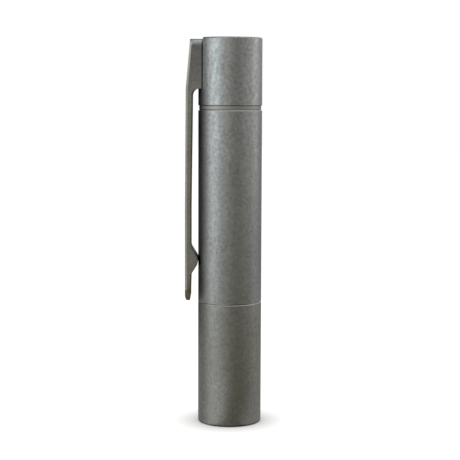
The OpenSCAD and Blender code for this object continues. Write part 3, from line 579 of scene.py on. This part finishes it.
def make_emitter():
    """The dome is the half sphere r = R cos a, z = foot - R sin a, which bulges down to the lens."""
    ceramic = plain("white_ceramic", (0.82, 0.82, 0.78), Roughness=0.55)
    package = block("emitter_package", (-LED_W / 2, -LED_W / 2, BOWL_END_Z),
                    (LED_W / 2, LED_W / 2, LED_BACK_Z))
    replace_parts(dress(package, "head", "phosphor", ceramic), "led_package")
    die = block("phosphor_die", (-DIE_W / 2, -DIE_W / 2, BOWL_END_Z - DIE_T),
                (DIE_W / 2, DIE_W / 2, BOWL_END_Z - DIE_LIFT))
    phosphor = plain("yellow_phosphor", (0.86, 0.70, 0.10), bump=FINE_BUMP, Roughness=0.6)
    dress(die, "head", "phosphor", phosphor)
    sweep, foot = np.linspace(0, math.pi / 2, DOME_ROWS), BOWL_END_Z - DOME_LIFT
    dome = turned_piece("clear_dome", [
        [(0, foot)],
        list(zip(DOME_R * np.cos(sweep), foot - (DOME_R - DOME_LIFT) * np.sin(sweep)))],
        turns=DOME_TURNS, solid=True)
    silicone = plain("clear_silicone", (0.97, 0.97, 0.95), drift=0.0, Roughness=0.03,
                     Transmission_Weight=1.0, IOR=1.41)
    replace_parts(dress(dome, "head", "clear_silicone", silicone), "led_dome")
    paint(white_plastic, "centring_ring")
    paint(two_tone("copper_board", 2, MASK_Z, WHITE_MASK, BARE_COPPER), "led_board")
    paint(plain("red_silicone", (0.62, 0.04, 0.03), Roughness=0.5), "wire_red")
    paint(plain("black_silicone", (0.03, 0.03, 0.03), Roughness=0.5), "wire_black")


make_emitter()

# The light engine behind it: a turned brass heat sink, the green driver board
# with its coil, chip and capacitors, the brass contact and the rings round it.
CHIP_BLACK, CAPACITOR_TAN = ((0.02, 0.02, 0.022), 0.0, 0.4), ((0.40, 0.28, 0.16), 0.0, 0.5)
CHIP_HALF, TRACK_SCALE, TRACK_RISE, TRACK_WIDTH, COARSE_BUMP = 1.6, 520.0, 0.00002, 0.06, 0.00003
turned_brass = machined("turned_brass", (0.80, 0.62, 0.31), (0.66, 0.49, 0.23))


def circuit_green():
    """Solder mask over tracks: narrow brick joints, a shade lighter, where copper lies under it."""
    material, add = new_material("green_board")
    place = add("ShaderNodeTexCoord").outputs["Object"]
    tracks = add("ShaderNodeTexBrick", Vector=place, Scale=TRACK_SCALE, Mortar_Size=TRACK_WIDTH,
                 Color1=(0.012, 0.075, 0.035, 1.0), Color2=(0.014, 0.090, 0.042, 1.0),
                 Mortar=(0.030, 0.160, 0.075, 1.0))
    rise = add("ShaderNodeBump", Height=tracks.outputs["Fac"], Strength=0.4, Distance=TRACK_RISE)
    skin = add("ShaderNodeBsdfPrincipled", Base_Color=tracks.outputs["Color"], Roughness=0.3,
               Coat_Weight=0.4, Normal=rise.outputs[0])
    add("ShaderNodeOutputMaterial", Surface=skin.outputs[0])
    return material


paint(turned_brass, "heat_sink", "contact_pin", "lock_ring")
paint(circuit_green(), "driver_board")
paint(plain("pressed_ferrite", (0.050, 0.050, 0.053), bump=COARSE_BUMP, Roughness=0.7), "driver_coil")
paint(two_tone("chip_and_capacitors", 0, CHIP_HALF, CHIP_BLACK, CAPACITOR_TAN), "driver_parts")
paint(white_plastic, "polarity_ring")

# The cell: a nickel-plated steel can with the nub down at the contact, a
# nylon seal and end plate at the top, and a plain film round it.
CELL_NUB_Z, CELL_SHOULDER_Z, CELL_RIM_Z, CELL_FLOOR_Z = 18.25, 19.15, 62.55, 61.55
NUB_R, CAN_R, CELL_R, RECESS_R, BAND_Z = 1.90, 5.10, 5.20, 3.98, 27.0
NUB_ROUND = [(0.3, 0.0), (0.09, 0.06), (0.0, 0.2)]
SHOULDER_ROUND = [(0.8, 0.0), (0.3, 0.06), (0.08, 0.24), (0.0, 0.5)]
RIM_ROUND = [(0.0, 0.6), (0.08, 0.24), (0.3, 0.06), (0.7, 0.0)]
FILM_GAP, FILM_EDGE_R, FILM_EDGE_Z, FILM_FOOT, FILM_HEAD = 0.01, 0.03, 0.04, 0.5, 0.3
SILVER_FILM, BLUE_FILM = ((0.55, 0.55, 0.57), 0.6, 0.3), ((0.018, 0.050, 0.120), 0.0, 0.3)
nickel = plain("nickel_plate", (0.62, 0.61, 0.58), drift=0.04, scale=3000.0, Metallic=1.0,
               Roughness=0.28)


def make_cell():
    """The can's profile runs from the nub over the shoulder and up to the crimped rim and its recess.
    Each rounding lists how far the profile stands off the corner, (across, along)."""
    can = turned_piece("cell_steel_can", [
        [(0, CELL_NUB_Z)] + [(NUB_R - r, CELL_NUB_Z + z) for r, z in NUB_ROUND]
        + [(NUB_R, CELL_SHOULDER_Z - 0.1), (NUB_R + 0.1, CELL_SHOULDER_Z)]
        + [(CAN_R - r, CELL_SHOULDER_Z + z) for r, z in SHOULDER_ROUND]
        + [(CAN_R - r, CELL_RIM_Z - z) for r, z in RIM_ROUND]
        + [(RECESS_R, CELL_RIM_Z - 0.06), (RECESS_R, CELL_FLOOR_Z), (0, CELL_FLOOR_Z)]], solid=True)
    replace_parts(dress(can, "cell", "cell_steel", nickel), "cell_can")
    low, high = CELL_SHOULDER_Z + FILM_FOOT, CELL_RIM_Z - FILM_HEAD
    film = turned_piece("cell_film", [[
        (CAN_R + FILM_GAP, low), (CELL_R - FILM_EDGE_R, low), (CELL_R, low + FILM_EDGE_Z),
        (CELL_R, high - FILM_EDGE_Z), (CELL_R - FILM_EDGE_R, high), (CAN_R + FILM_GAP, high)]])
    ink = two_tone("plain_film", 2, BAND_Z, SILVER_FILM, BLUE_FILM, Coat_Weight=0.5)
    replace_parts(dress(film, "cell", "cell_film", ink), "cell_label")
    paint(plain("dark_nylon", (0.035, 0.035, 0.045), Roughness=0.5), "cell_seal")
    paint(nickel, "cell_plate")


make_cell()

# The barrel: the grip that holds the cell, with a threaded neck and seal land
# below for the head, and a threaded socket for the tail cap above.
NECK_Z, NECK_THREAD_TOP, SHOULDER_Z, BARREL_TOP = 18.79, 23.59, 27.09, 69.21
SOCKET_THREAD_Z, SOCKET_SEAL_Z, CREST_R, LAND_R = 63.31, 66.51, 6.10, 6.42
SLOT_R, SLOT_W, HEAD_RING_Z, TAIL_RING_Z = 5.75, 0.94, 25.34, 67.91
SHOULDER_BEVEL, SHOULDER_BEVEL_L, BARREL_CHAMFER = 0.05, 0.15, 0.12
THREAD_ROOT_R, THREAD_RELIEF, LAND_EDGE = CREST_R - THREAD_DEPTH, 0.45, 0.1
OUTER_LEAD, RELIEF_EDGE, SOCKET_RELIEF = 0.01, 0.05, 0.1


def seal_land(start, ring_z, end):
    """The thread's relief, the land above it with the four corners of the ring's slot, and its end."""
    return [
        (THREAD_ROOT_R, start - THREAD_RELIEF + RELIEF_EDGE), (THREAD_ROOT_R, start),
        (LAND_R - LAND_EDGE, start), (LAND_R, start + LAND_EDGE),
        (LAND_R, ring_z - SLOT_W / 2), (SLOT_R, ring_z - SLOT_W / 2),
        (SLOT_R, ring_z + SLOT_W / 2), (LAND_R, ring_z + SLOT_W / 2), (LAND_R, end)]


def make_barrel():
    """The profile runs up the neck and the grip to the rim, and down the socket to the bore."""
    barrel = turned_piece("barrel_tube", [
        [(BORE_R, NECK_Z), (THREAD_ROOT_R, NECK_Z)],
        thread_rows(NECK_Z + OUTER_LEAD, NECK_THREAD_TOP - THREAD_RELIEF, CREST_R),
        seal_land(NECK_THREAD_TOP, HEAD_RING_Z, SHOULDER_Z),
        [(BODY_R - SHOULDER_BEVEL, SHOULDER_Z)],
        [(BODY_R, SHOULDER_Z + SHOULDER_BEVEL_L), (BODY_R, BARREL_TOP - BARREL_CHAMFER - EDGE_BREAK)],
        [(BODY_R - EDGE_BREAK / 3, BARREL_TOP - BARREL_CHAMFER), (BODY_R - BARREL_CHAMFER, BARREL_TOP)],
        [(SEAL_BORE_R, BARREL_TOP), (SEAL_BORE_R, SOCKET_SEAL_Z), (THREAD_BORE_R, SOCKET_SEAL_Z)],
        thread_rows(SOCKET_SEAL_Z - INNER_LEAD, SOCKET_THREAD_Z + SOCKET_RELIEF, THREAD_BORE_R,
                    inner=True),
        [(THREAD_BORE_R, SOCKET_THREAD_Z), (BORE_R, SOCKET_THREAD_Z)],
    ], finish=[TURNED, TURNED, TURNED, TURNED, STONEWASHED, CUT_AND_SHEEN, TURNED, TURNED, TURNED])
    dress(barrel, "body", "titanium", titanium, turned_titanium, cut_edge_and_sheen)
    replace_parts(barrel, "barrel")


make_barrel()

# The two sealing rings, in the slots of the neck and the stud, and the plated
# spring on its plate, wound inwards from the plate to the cell.
RING_MID_R, RING_R, RING_SIDES = 6.10, 0.35, 24
SPRING_FOOT_R, SPRING_TIP_R, SPRING_FOOT_Z, SPRING_TIP_Z = 4.55, 2.05, 71.13, 63.02
SPRING_TURNS, SPRING_STEPS, WIRE_R, WIRE_SIDES, LEVEL_SHARE = 4.5, 181, 0.25, 12, 0.08


def make_sealing_ring(name, z, node):
    """A torus: (R + r cos b) about the axis, and z + r sin b."""
    around = np.linspace(0, 2 * math.pi, RING_SIDES, endpoint=False)
    section = RING_MID_R + RING_R * np.cos(around), z + RING_R * np.sin(around)
    ring = grid_mesh(name, lathe_grid(*section))
    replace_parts(dress(ring, "body", "black_rubber", rubber), node)


def make_spring():
    """A wire along r(t) (cos a, sin a) and z(t), a = 9 pi t. Its climb eases in over the first
    LEVEL_SHARE of t and out over the last, so that both ends lie level."""
    t = np.linspace(0, 1, SPRING_STEPS)
    climb = np.where(t < LEVEL_SHARE, t ** 2 / (2 * LEVEL_SHARE), t - LEVEL_SHARE / 2)
    climb = np.where(t > 1 - LEVEL_SHARE, 1 - LEVEL_SHARE - (1 - t) ** 2 / (2 * LEVEL_SHARE), climb)
    climb /= 1 - LEVEL_SHARE
    turn = 2 * math.pi * SPRING_TURNS * t
    radius = SPRING_FOOT_R + (SPRING_TIP_R - SPRING_FOOT_R) * t
    path = np.stack([radius * np.cos(turn), radius * np.sin(turn),
                     SPRING_FOOT_Z + (SPRING_TIP_Z - SPRING_FOOT_Z) * climb], -1)
    along = np.gradient(path, axis=0)
    along /= np.linalg.norm(along, axis=1, keepdims=True)
    out = np.stack([np.cos(turn), np.sin(turn), np.zeros_like(turn)], -1)
    out -= (out * along).sum(1, keepdims=True) * along
    out /= np.linalg.norm(out, axis=1, keepdims=True)
    side = np.cross(along, out)
    around = np.linspace(0, 2 * math.pi, WIRE_SIDES, endpoint=False)[None, :, None]
    points = path[:, None] + WIRE_R * (np.cos(around) * out[:, None] + np.sin(around) * side[:, None])
    last = (SPRING_STEPS - 1) * WIRE_SIDES
    spring = grid_mesh("tail_spring_wire", points, close_u=False,
                       faces=[tuple(range(WIRE_SIDES))[::-1], tuple(range(last, last + WIRE_SIDES))])
    plated = plain("plated_spring", (0.62, 0.60, 0.54), Metallic=1.0, Roughness=0.3)
    spring.data.materials.append(plated)
    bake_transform(spring)
    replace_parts(spring, "tail_spring")


make_sealing_ring("head_sealing_ring", HEAD_RING_Z, "head_oring")
make_sealing_ring("tail_sealing_ring", TAIL_RING_Z, "tail_oring")
make_spring()
paint(turned_brass, "spring_plate")

# The tail cap: a solid end screwed into the barrel. The turned groove above
# the joint is left as machined, and a pocket is milled for the clip's pad.
STUD_Z, STUD_LAND_Z, GROOVE_TOP, TAIL_TOP = 63.41, 66.61, 70.21, 84.90
GROOVE_R, GROOVE_CHAMFER, JOINT_BEVEL, TAIL_CHAMFER = 6.80, 0.12, 0.15, 0.20
WELL_R, WELL_Z, JOINT_Z, GROOVED = 4.90, 72.00, BARREL_TOP + 0.02, 2
POCKET_FLOOR, POCKET_HALF, POCKET_FOOT = 5.60, 3.40, 73.84
POCKET_LIP, LIP_SLOPE, TOOL_REACH = 5.75, 0.56, 8.0


def cut_away(piece, cutter):
    """Takes the cutter's space out of the piece, and the cutter out of the scene."""
    cut = piece.modifiers.new("cut", "BOOLEAN")
    cut.operation, cut.solver, cut.object = "DIFFERENCE", "EXACT", cutter
    bpy.context.view_layer.update()
    finished = piece.evaluated_get(bpy.context.evaluated_depsgraph_get())
    cut_mesh = bpy.data.meshes.new_from_object(finished)
    piece.modifiers.clear()
    piece.data = cut_mesh
    bpy.data.objects.remove(cutter)
    cut_mesh.polygons.foreach_set("use_smooth", np.ones(len(cut_mesh.polygons), bool))
    cut_mesh.set_sharp_from_angle(angle=SHARP_ANGLE)


groove_titanium = machined("groove_titanium", (0.37, 0.365, 0.335), (0.29, 0.285, 0.26), rough=0.5)


def make_tail():
    """Turned like the barrel. The pocket's tool flares outwards, so that it breaks the long edges."""
    tail = turned_piece("tail_cap_body", [
        [(0, WELL_Z), (WELL_R, WELL_Z), (WELL_R, STUD_Z), (THREAD_ROOT_R, STUD_Z)],
        thread_rows(STUD_Z + OUTER_LEAD, STUD_LAND_Z - THREAD_RELIEF, CREST_R),
        seal_land(STUD_LAND_Z, TAIL_RING_Z, JOINT_Z),
        [(GROOVE_R - JOINT_BEVEL, JOINT_Z), (GROOVE_R, JOINT_Z + JOINT_BEVEL),
         (GROOVE_R, GROOVE_TOP - 0.08), (GROOVE_R - 0.04, GROOVE_TOP)],
        [(BODY_R - GROOVE_CHAMFER, GROOVE_TOP), (BODY_R, GROOVE_TOP + GROOVE_CHAMFER),
         (BODY_R, TAIL_TOP - TAIL_CHAMFER - EDGE_BREAK),
         (BODY_R - EDGE_BREAK / 3, TAIL_TOP - TAIL_CHAMFER),
         (BODY_R - TAIL_CHAMFER, TAIL_TOP - EDGE_BREAK / 3),
         (BODY_R - TAIL_CHAMFER - EDGE_BREAK, TAIL_TOP), (0, TAIL_TOP)],
    ], finish=[TURNED, TURNED, TURNED, GROOVED, STONEWASHED], solid=True)
    dress(tail, "body", "titanium", titanium, turned_titanium, groove_titanium)
    flare = POCKET_HALF + (TOOL_REACH - POCKET_LIP) / LIP_SLOPE
    cut_away(tail, prism("pocket_tool", [
        (-POCKET_FLOOR, -POCKET_HALF), (-POCKET_FLOOR, POCKET_HALF), (-POCKET_LIP, POCKET_HALF),
        (-TOOL_REACH, flare), (-TOOL_REACH, -flare), (-POCKET_LIP, -POCKET_HALF)],
        POCKET_FOOT, TAIL_TOP + 1))
    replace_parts(tail, "tail_cap")


make_tail()

# The clip: one bar of titanium, milled. Its pad fills the tail cap's pocket,
# and its arm springs from a fillet down to the bump that holds the cloth. Its
# outer chamfers are paler, for wear and a painted highlight. Its colour is painted
# lighter and darker along its length for light and shade, and its inner face has
# painted shade, darker towards the root.
CLIP_W, CLIP_TOP, CLIP_TIP, PAD_FOOT = 6.60, 84.56, 27.20, 74.04
PAD_OUT_TOP, PAD_OUT_FOOT, PAD_BEND, ARM_OUT, ARM_BEND = 8.72, 9.66, 73.84, 9.86, 47.97
ROOT_IN, ROOT_R, ARM_IN, TIP_IN, PAD_IN = 8.21, 1.70, 8.52, 8.60, 5.65
BUMP_Z, BUMP_CROWN, BUMP_FLAT, BUMP_R, BUMP_SLOPE, HOLLOW_R = 36.26, 7.05, 0.66, 1.20, 31.5, 1.60
OUTER_EDGE, INNER_EDGE, EDGE_RUN, LEAST_EDGE = 0.45, 0.20, 0.6, 0.02
TOP_CORNER, TIP_CORNER, TIP_BEVEL, TIP_RUN = 1.10, 2.60, 0.25, 1.1
FOOT_SINK = 0.17  # The pad's foot reaches over the pocket's clearance, as in the photograph.
ROUND_ROWS, CROWN_ROWS, ARM_ROWS = 17, 9, 25
SCREW_HEIGHTS, SEAT_U, CLEAR_R, COUNTERBORE_R, DRILL_TURNS = (81.66, 77.06), 7.30, 1.10, 1.80, 64
# Finish numbers: the paler outer chamfers, for wear and a painted highlight, and the inner face with
# painted shade.
WORN_AND_SHEEN, BACK = 1, 2
CLIP_PALE, CLIP_DARK = (0.42, 0.44, 0.46), (0.30, 0.313, 0.325)
EDGE_PALE, EDGE_DARK = (0.50, 0.48, 0.42), (0.40, 0.38, 0.33)
# Painted light and shade along the clip: darker and browner round the tip, paler down the arm, darker
# up the pad and full at its top corner.
CLIP_LIGHT_AND_SHADE = [
    (27.2, (0.44, 0.37, 0.20)), (29.2, (0.50, 0.44, 0.29)), (31.5, (0.78, 0.71, 0.50)),
    (35.0, (0.82, 0.77, 0.66)), (40.0, (0.80, 0.755, 0.65)), (48.0, (0.79, 0.73, 0.55)),
    (64.0, (0.735, 0.69, 0.52)), (72.0, (0.74, 0.70, 0.62)), (75.0, (0.665, 0.63, 0.57)),
    (79.0, (0.525, 0.50, 0.455)), (83.1, (0.47, 0.452, 0.41)), (83.8, (1.0, 1.0, 1.0)),
    (84.6, (1.0, 1.0, 1.0))]
# Painted shade on the inner face, which faces the barrel: darker towards the root.
BACK_PAINTED_SHADE = [
    (27.2, (0.8, 0.78, 0.72)), (50.0, (0.8, 0.78, 0.72)), (64.0, (0.2, 0.2, 0.2)),
    (84.6, (0.1, 0.1, 0.1))]


def bump_curve():
    """Half the bump, as distances and heights above its middle: flat, crown arc, flank, hollow."""
    slope = math.radians(BUMP_SLOPE)
    crown = np.linspace(0, slope, CROWN_ROWS)
    crown_u = BUMP_CROWN + BUMP_R * (1 - np.cos(crown))
    crown_z = BUMP_FLAT / 2 + BUMP_R * np.sin(crown)
    hollow = np.linspace(slope, 0, CROWN_ROWS)
    hollow_u = ARM_IN - HOLLOW_R * (1 - np.cos(hollow))
    run = (hollow_u[0] - crown_u[-1]) / math.tan(slope)
    end = crown_z[-1] + run + HOLLOW_R * math.sin(slope)
    hollow_z = end - HOLLOW_R * np.sin(hollow)
    return np.concatenate([crown_u, hollow_u]), np.concatenate([crown_z, hollow_z])


def clip_stations():
    """Heights down the clip, with the inner and outer distance from the tube's axis at each."""
    bump_u, bump_rise = bump_curve()
    root = np.linspace(math.asin(1 - FOOT_SINK / ROOT_R), 0, ROUND_ROWS)
    top = CLIP_TOP - TOP_CORNER * (1 - np.cos(np.radians(np.linspace(0, 90, CROWN_ROWS))))
    tip = CLIP_TIP + TIP_CORNER * (1 - np.sin(np.radians(np.linspace(0, 90, ROUND_ROWS))))
    arm = np.linspace(PAD_FOOT - ROOT_R - 1, ARM_BEND, ARM_ROWS)
    heights = np.concatenate([
        top, [PAD_FOOT - FOOT_SINK], PAD_FOOT - ROOT_R + ROOT_R * np.sin(root), arm,
        BUMP_Z + bump_rise[::-1], BUMP_Z - bump_rise, tip])
    inner = np.concatenate([
        np.full(len(top), PAD_IN), [PAD_IN], ROOT_IN - ROOT_R + ROOT_R * np.cos(root),
        np.interp(-arm, [ROOT_R - PAD_FOOT, -ARM_BEND], [ROOT_IN, ARM_IN]),
        bump_u[::-1], bump_u, np.full(len(tip), TIP_IN)])
    outer = np.interp(-heights, [-CLIP_TOP, -PAD_BEND, -ARM_BEND, -CLIP_TIP],
                      [PAD_OUT_TOP, PAD_OUT_FOOT, ARM_OUT, ARM_OUT])
    thinned = TIP_BEVEL * np.clip((CLIP_TIP + TIP_RUN - heights) / TIP_RUN, 0, 1)
    return heights, inner + thinned, outer - thinned


def half_width(heights):
    """Half the clip's width at each height: full, but for round corners at the top and a round tip."""
    up = np.clip((heights - (CLIP_TOP - TOP_CORNER)) / TOP_CORNER, 0, 1)
    down = np.clip(((CLIP_TIP + TIP_CORNER) - heights) / TIP_CORNER, 0, 1)
    return (CLIP_W / 2 - TOP_CORNER * (1 - np.sqrt(1 - up ** 2))
            - TIP_CORNER * (1 - np.sqrt(1 - down ** 2)))


def make_clip():
    """Eight-cornered sections, carried down the clip. The corners are (distance, width), with both
    edges chamfered. Sides 2 and 4 are the outer chamfers and side 7 is the inner face."""
    heights, inner, outer = clip_stations()
    half = half_width(heights)
    broken = np.clip((PAD_FOOT - heights) / EDGE_RUN, 0, 1) * INNER_EDGE
    near = np.minimum(np.clip(broken, LEAST_EDGE, None), (outer - inner) / 3)
    far = np.full(len(heights), OUTER_EDGE)
    corners = [(inner, half - near), (inner + near, half), (outer - far, half),
               (outer, half - far), (outer, far - half), (outer - far, -half),
               (inner + near, -half), (inner, near - half)]
    points = np.stack([np.stack([-u, y, heights], -1) for u, y in corners], 1)
    last = len(heights) - 1
    ends = [tuple(range(8))[::-1], tuple(range(last * 8, last * 8 + 8))]
    finish = np.zeros(points.shape[:2], int)
    # The outer chamfers take the paler edge finish: wear and a painted highlight.
    worn_and_sheen_rows = np.flatnonzero(heights > CLIP_TIP + TIP_CORNER)
    finish[np.ix_(worn_and_sheen_rows, [2, 4])] = WORN_AND_SHEEN
    # Painted shade on the inner face of the arm.
    finish[heights < PAD_FOOT, 7] = BACK
    dress_clip(grid_mesh("clip_bar", points, close_u=False, finish=finish, faces=ends))


def lay_down(piece, z):
    """Turns a piece made up the Z axis to point to -X at height z: (x, y, h) goes to (-h, y, x + z)."""
    piece.data.transform(Matrix(((0, 0, -1, 0), (0, 1, 0, 0), (1, 0, 0, z * MM), (0, 0, 0, 1))))
    return piece


def dress_clip(clip):
    """Finishes the bar, and drills and counterbores it for its screws."""
    clip.data.materials.append(stonewashed("stonewashed_clip", CLIP_PALE, CLIP_DARK, CLIP_LIGHT_AND_SHADE))
    clip.data.materials.append(stonewashed("worn_and_sheen_clip_edge", EDGE_PALE, EDGE_DARK))
    clip.data.materials.append(stonewashed("shaded_clip_back", CLIP_PALE, CLIP_DARK, BACK_PAINTED_SHADE))
    for z in SCREW_HEIGHTS:
        drill = turned_piece("drill", [
            [(0, PAD_IN - 1), (CLEAR_R, PAD_IN - 1), (CLEAR_R, SEAT_U), (COUNTERBORE_R, SEAT_U),
             (COUNTERBORE_R, ARM_OUT + 1), (0, ARM_OUT + 1)]], turns=DRILL_TURNS, solid=True)
        cut_away(clip, lay_down(drill, z))
    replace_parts(clip, "clip_base", "clip_arm")
    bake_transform(clip)


make_clip()

# Two socket screws of stainless steel, M2, sunk in the pad's counterbores and
# driven into the tail cap.
SCREW_R, SCREW_HEAD_R, SCREW_LENGTH, SCREW_HEAD_H = 1.00, 1.70, 4.60, 1.10
HEX_ACROSS, HEX_DEPTH, HEX_EDGE, HEX_CONE = 1.60, 0.60, 0.05, 0.1
SCREW_PITCH, SCREW_THREAD, SCREW_POINT, SCREW_PLAIN, SCREW_NECK = 0.40, 0.20, 0.25, 0.5, 0.1
HEAD_ROUND = [(0.0, 0.2), (0.06, 0.06), (0.2, 0.0)]
screw_steel = plain("screw_steel", (0.36, 0.36, 0.36), scale=3000.0, Metallic=1.0, Roughness=0.36)


def make_screw(name, z, turns=96):
    """Turned up its own axis, with a hexagon of radius (w / 2) / cos(a mod 60 - 30) sunk in the head,
    and then laid down."""
    tip, top = SEAT_U - SCREW_LENGTH, SEAT_U + SCREW_HEAD_H
    corner = np.radians(np.linspace(0, 360, turns, endpoint=False) % 60 - 30)
    hexagon = HEX_ACROSS / 2 / np.cos(corner)
    socket = (np.stack([hexagon + HEX_EDGE, hexagon, hexagon]),
              np.repeat([[top], [top - HEX_EDGE], [top - HEX_DEPTH]], turns, 1))
    screw = turned_piece(name, [
        [(0, tip), (SCREW_R - SCREW_POINT, tip)],
        thread_rows(tip + 0.02, SEAT_U - SCREW_PLAIN, SCREW_R, turns=turns, pitch=SCREW_PITCH,
                    depth=SCREW_THREAD),
        [(SCREW_R - SCREW_NECK, SEAT_U - SCREW_PLAIN + 0.05), (SCREW_R - SCREW_NECK, SEAT_U),
         (SCREW_HEAD_R, SEAT_U)] + [(SCREW_HEAD_R - r, top - z) for r, z in HEAD_ROUND],
        socket, [(0, top - HEX_DEPTH - HEX_CONE)]], turns=turns, solid=True)
    dress(lay_down(screw, z), "body", "screw_steel", screw_steel)
    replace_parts(screw, "clip_screws")


for place_name, height in zip(("upper", "lower"), SCREW_HEIGHTS):
    make_screw("clip_screw_" + place_name, height)
